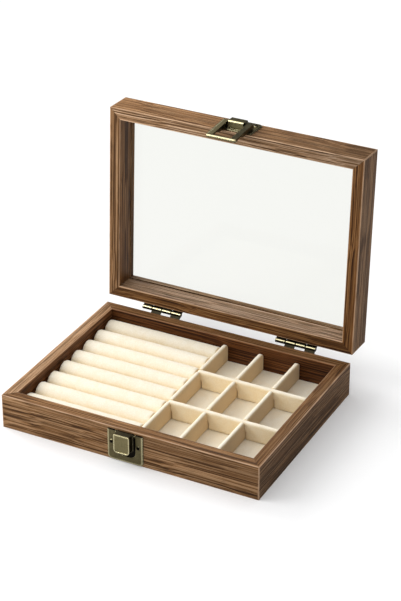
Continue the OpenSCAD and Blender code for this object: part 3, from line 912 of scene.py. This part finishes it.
class RINGBOX_OT_rails(bpy.types.Operator):
    """Finish the eight mitred rails in walnut"""
    bl_idname = "ring_box.rails"
    bl_label = "Walnut rails"

    def execute(self, context):
        look = settings_of(context).walnut
        for row, (part, painted_lights) in enumerate(RAIL_PAINTED_LIGHT.items()):
            for column, side in enumerate(SIDES):
                along_x, on_lid = side in ("front", "back"), part == "lid"
                seed = 31.7 * row + 7.9 * column
                wood = walnut(f"walnut_{part}_{side}", look, along_x, on_lid, painted_lights[side], seed)
                finish_node(f"{part}_{side}_rail", wood)
        return {"FINISHED"}


class RINGBOX_OT_underside(bpy.types.Operator):
    """Finish the fibreboard bottom and the felt under it"""
    bl_idname = "ring_box.underside"
    bl_label = "Bottom board and felt"

    def execute(self, context):
        finish_node("bottom_board", mottled(
            "fibreboard", colours=((0.20, 0.125, 0.07, 1), (0.40, 0.28, 0.17, 1)), contrast=0.2,
            relief=(0.1, 0.4), pattern={"scale": 1.6, "detail": 4, "roughness": 0.7}, roughness=0.85,
        ))
        finish_node("underside_felt", mottled(
            "felt", colours=((0.030, 0.018, 0.011, 1), (0.085, 0.052, 0.034, 1)), contrast=0.15,
            relief=(0.25, 0.6), pattern={"scale": 1.1, "detail": 5, "roughness": 0.75, "distortion": 1.2},
            roughness=0.95, sheen_weight=0.3,
        ))
        return {"FINISHED"}


class RINGBOX_OT_rolls(bpy.types.Operator):
    """Make the eight foam rolls with their velvet covers"""
    bl_idname = "ring_box.rolls"
    bl_label = "Ring rolls"

    def execute(self, context):
        look = settings_of(context).velvet
        for index, node in enumerate(ROLLS):
            # the last roll is darkened as painted shade
            shade = BACK_ROLL_SHADE if node == ROLLS[-1] else 1.0 + SHADE_STEP * (index % 3 - 1)
            cloth = velvet(f"roll_velvet_{index + 1}", look, shade, seed=4.4 * index)
            piece = show_as(make_roll(index, look), node, cloth)
        return {"FINISHED"}


class RINGBOX_OT_dividers(bpy.types.Operator):
    """Make the velvet-wrapped dividers of the nine compartments"""
    bl_idname = "ring_box.dividers"
    bl_label = "Dividers"

    def execute(self, context):
        look = settings_of(context).velvet
        for index, node in enumerate(LONG_DIVIDERS + CROSS_DIVIDERS):
            cloth = velvet(f"divider_velvet_{index + 1}", look, shade=0.99, seed=61 + 5.3 * index)
            piece = make_divider(f"velvet_{node}", node, seed=40.0 + 9 * index)
            show_as(piece, node, cloth)
        return {"FINISHED"}


class RINGBOX_OT_floors(bpy.types.Operator):
    """Make the velvet-covered boards on the bottom"""
    bl_idname = "ring_box.floors"
    bl_label = "Velvet floors"

    def execute(self, context):
        look = settings_of(context).velvet
        for node in FLOOR_GRIDS:
            cloth = velvet(f"{node}_velvet", look, shade=0.97, seed=91.0 + len(node))
            piece = show_as(make_floor(node), node, cloth)
        return {"FINISHED"}


class RINGBOX_OT_glass(bpy.types.Operator):
    """Finish the pane of the lid in clear glass"""
    bl_idname = "ring_box.glass"
    bl_label = "Glass pane"

    def execute(self, context):
        glass = Finish("clear_glass", roughness=0.0, ior=1.46, transmission_weight=1.0,
                       specular_tint=(0.15, 0.15, 0.15, 1), base_color=settings_of(context).glass.tint)
        shadow = glass.node("ShaderNodeBsdfTransparent")
        glass.put(shadow.inputs["Color"], PANE_SHADOW)
        glass.show(glass.choose("Is Shadow Ray", glass.shader.outputs[0], shadow.outputs[0]))
        finish_node("glass_pane", glass)
        return {"FINISHED"}


class RINGBOX_OT_hinges(bpy.types.Operator):
    """Finish both hinges, their pins and their screws"""
    bl_idname = "ring_box.hinges"
    bl_label = "Hinges"

    def execute(self, context):
        look = settings_of(context).brass
        for side in ("left", "right"):
            low, high = box_mm(f"{side}_hinge_pin")
            leaf = antique_brass(f"{side}_hinge_brass", look, wear=0.9, gloss=0.24, seed=3.0,
                                 edge_mm=0.22, shape=hinge_brass((low + high) / 2, high[0] - low[0]))
            finish_node(f"{side}_hinge_base_leaf", leaf)
            finish_node(f"{side}_hinge_lid_leaf", leaf)
            pin = antique_brass(f"{side}_pin_brass", look, wear=1.0, gloss=0.22, seed=11.0, edge_mm=0.15)
            finish_node(f"{side}_hinge_pin", pin)
        screws = antique_brass("leaf_screw_brass", look, wear=1.0, gloss=0.30, seed=21.0, edge_mm=0.18)
        finish_node("base_leaf_screws", screws)
        finish_node("lid_leaf_screws", screws)
        return {"FINISHED"}


class RINGBOX_OT_catch(bpy.types.Operator):
    """Finish the hook, the loop, their plates, the pin and the screws"""
    bl_idname = "ring_box.catch"
    bl_label = "Catch"

    def execute(self, context):
        look = settings_of(context).brass
        # For each: its wear and gloss, the width of its rubbed edges, and where it is bright and dark
        pieces = (
            ("catch_plate", 1.0, 0.24, 0.40, hook_plate_brass()),
            ("hasp_plate", 1.0, 0.24, 0.45, lid_plate_brass()),
            ("hasp_loop", 1.0, 0.22, 0.50, loop_brass()),
            ("hasp_pin", 0.8, 0.22, 0.2, None),
            ("catch_screws", 1.0, 0.24, 0.2, screw_brass("catch_screws", False)),
            ("hasp_screws", 1.0, 0.24, 0.2, screw_brass("hasp_screws", True)),
        )
        for index, (node, wear, gloss, edge_mm, shape) in enumerate(pieces):
            on_lid = node.startswith("hasp")
            brass = antique_brass(f"{node}_brass", look, wear, gloss, 5.7 * index, edge_mm, on_lid, shape)
            finish_node(node, brass)
        return {"FINISHED"}


# ---- stage ----

# Places and sizes are in metres.
FLOOR_HALF = 6.0
KEY_PLACE, KEY_ANGLE = (-1.95, 0.75, 1.0), 30       # the low light, and how wide it is in degrees
SOFT_BOX_PLACE, SOFT_BOX_SIZE = (-0.60, -0.35, 0.60), 0.6
FILL_FROM = (-0.70, -0.30, 0.65)                    # where the fill is strongest
ROOM_LIGHT_FROM = (-0.40, 0.05, 0.91)               # where the room is bright in reflections
CAMERA_PLACE, CAMERA_AIM = (0.5709, -1.0807, 0.7699), (0.0154, 0.0045, 0.0914)
CAMERA_LENS, CAMERA_SENSOR = 121.0, 36              # in millimetres


class RINGBOX_OT_stage(bpy.types.Operator):
    """Set the pale floor, the soft lights, the camera and the background"""
    bl_idname = "ring_box.stage"
    bl_label = "Stage and camera"

    def execute(self, context):
        scene, look = context.scene, settings_of(context).stage
        scene.view_settings.view_transform = "Standard"
        self.floor(scene, look)
        self.world(scene, look)
        key = self.lamp(scene, "key", "SUN", look.key, KEY_PLACE)
        key.angle = math.radians(KEY_ANGLE)
        soft_box = self.lamp(scene, "soft_box", "AREA", look.near, SOFT_BOX_PLACE)
        soft_box.shape, soft_box.size = "DISK", SOFT_BOX_SIZE
        self.camera(scene)
        return {"FINISHED"}

    def floor(self, scene, look):
        """Matt floor, lifted to white for the camera and shown plainly in glass and brass."""
        half = FLOOR_HALF
        mesh = bpy.data.meshes.new("floor")
        corners = [(-half, -half, 0), (half, -half, 0), (half, half, 0), (-half, half, 0)]
        mesh.from_pydata(corners, [], [(0, 1, 2, 3)])
        floor = bpy.data.objects.new("floor", mesh)
        scene.collection.objects.link(floor)
        material = bpy.data.materials.new("floor")
        mesh.materials.append(material)
        nodes = Nodes(material, "ShaderNodeOutputMaterial")

        def matt(share, lift):
            """A share of the floor's colour, with some light of its own."""
            diffuse, both = nodes.node("ShaderNodeBsdfDiffuse"), nodes.node("ShaderNodeAddShader")
            nodes.put(diffuse.inputs["Color"], [part * share for part in look.floor[:3]] + [1])
            nodes.put(both.inputs[0], diffuse.outputs[0])
            nodes.put(both.inputs[1], nodes.light("ShaderNodeEmission", lift))
            return both.outputs[0]

        shown = nodes.choose("Is Glossy Ray", matt(0.65, 0.0), matt(0.5, 0.05))
        shown = nodes.choose("Is Transmission Ray", shown, matt(0.2, 0.8))
        nodes.show(nodes.choose("Is Camera Ray", shown, matt(0.92, 0.13)))

    def world(self, scene, look):
        """White behind the box, a darker room in reflections, and fill that is strongest on one side."""
        scene.world = bpy.data.worlds.new("studio")
        nodes = Nodes(scene.world, "ShaderNodeOutputWorld")
        where = nodes.node("ShaderNodeTexCoord")

        def towards(direction, **limits):
            """A strength that grows smoothly towards a direction, within limits of a map range node."""
            dot = nodes.node("ShaderNodeVectorMath", operation="DOT_PRODUCT")
            nodes.put(dot.inputs[0], where.outputs["Generated"])
            nodes.put(dot.inputs[1], Vector(direction).normalized())
            ramp = nodes.node("ShaderNodeMapRange", interpolation_type="SMOOTHSTEP")
            nodes.put(ramp.inputs["Value"], dot.outputs["Value"])
            for limit, value in limits.items():
                nodes.put(ramp.inputs[limit.replace("_", " ").title()], value)
            return ramp.outputs["Result"]

        fill = nodes.light("ShaderNodeBackground", towards(
            FILL_FROM, from_min=-0.7, from_max=0.7, to_min=look.fill * 0.15, to_max=look.fill * 1.35,
        ))
        room = nodes.light("ShaderNodeBackground", towards(
            ROOM_LIGHT_FROM, from_min=0.62, from_max=0.92, to_min=0.10, to_max=2.0,
        ))
        white = nodes.light("ShaderNodeBackground", 1.0)
        shown = nodes.choose("Is Glossy Ray", fill, room)
        shown = nodes.choose("Is Transmission Ray", shown, white)
        nodes.show(nodes.choose("Is Camera Ray", shown, white))

    def lamp(self, scene, name, kind, power, place):
        """Adds a light that points at the origin."""
        lamp = bpy.data.objects.new(name, bpy.data.lights.new(name, kind))
        lamp.data.energy = power
        lamp.location = place
        lamp.rotation_euler = (-Vector(place)).to_track_quat("-Z", "Y").to_euler()
        scene.collection.objects.link(lamp)
        return lamp.data

    def camera(self, scene):
        camera = bpy.data.objects.new("camera", bpy.data.cameras.new("camera"))
        camera.location = CAMERA_PLACE
        aim = Vector(CAMERA_AIM) - camera.location
        camera.rotation_euler = aim.to_track_quat("-Z", "Y").to_euler()
        camera.data.sensor_fit, camera.data.sensor_height = "VERTICAL", CAMERA_SENSOR
        camera.data.lens = CAMERA_LENS
        camera.data.clip_start, camera.data.clip_end = 0.05, 30
        scene.collection.objects.link(camera)
        scene.camera = camera


class RINGBOX_PT_panel(bpy.types.Panel):
    """Sidebar panel that lists the settings and the steps"""
    bl_label = "Ring Box"
    bl_idname = "RINGBOX_PT_panel"
    bl_space_type = "VIEW_3D"
    bl_region_type = "UI"
    bl_category = "Ring Box"

    def draw(self, context):
        for group in ("walnut", "velvet", "brass", "glass", "stage"):
            box = self.layout.box()
            box.label(text=group.title())
            values = getattr(settings_of(context), group)
            for key in values.__annotations__:
                box.prop(values, key)
        for step in STEPS:
            self.layout.operator(f"ring_box.{step}")


STEPS = ("stage", "rails", "underside", "floors", "dividers", "rolls", "glass", "hinges", "catch")
CLASSES = (
    WalnutSettings, VelvetSettings, BrassSettings, GlassSettings, StageSettings, RingBoxSettings,
    RINGBOX_OT_stage, RINGBOX_OT_rails, RINGBOX_OT_underside, RINGBOX_OT_floors, RINGBOX_OT_dividers,
    RINGBOX_OT_rolls, RINGBOX_OT_glass, RINGBOX_OT_hinges, RINGBOX_OT_catch, RINGBOX_PT_panel,
)


def register():
    for cls in CLASSES:
        bpy.utils.register_class(cls)
    bpy.types.Scene.ring_box = PointerProperty(type=RingBoxSettings)


def unregister():
    del bpy.types.Scene.ring_box
    for cls in reversed(CLASSES):
        bpy.utils.unregister_class(cls)


def main():
    register()
    for step in STEPS:
        getattr(bpy.ops.ring_box, step)()


if __name__ == "__main__":
    main()
